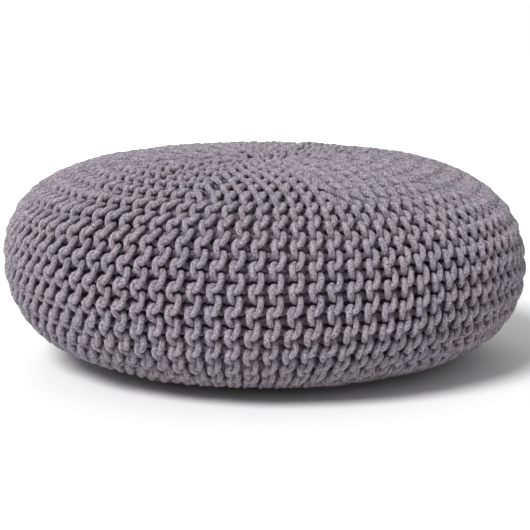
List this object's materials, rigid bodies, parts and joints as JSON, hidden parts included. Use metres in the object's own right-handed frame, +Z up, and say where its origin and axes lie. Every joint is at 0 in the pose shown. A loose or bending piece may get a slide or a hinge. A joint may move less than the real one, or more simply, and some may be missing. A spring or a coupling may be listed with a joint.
{
  "type": "knitted pouf",
  "caption": "Low round floor pouf in a chunky garter-stitch knitted cord cover, filled firm, with its ridges drawn together at the middle of the crown.",
  "frame": {"origin": "middle of the flat foot that it rests on, at the bottom centre of the bounding box", "axes": "+Z up through the middle of the crown, -Y towards the front of the picture, +X to its right"},
  "size_m": [0.7008, 0.6992, 0.2719],
  "materials": {
    "cotton_cord": "matt heathered mauve-grey cotton cord"
  },
  "bodies": {
    "root": {"knitted_pouf": "cotton_cord"}
  },
  "joints": []
}
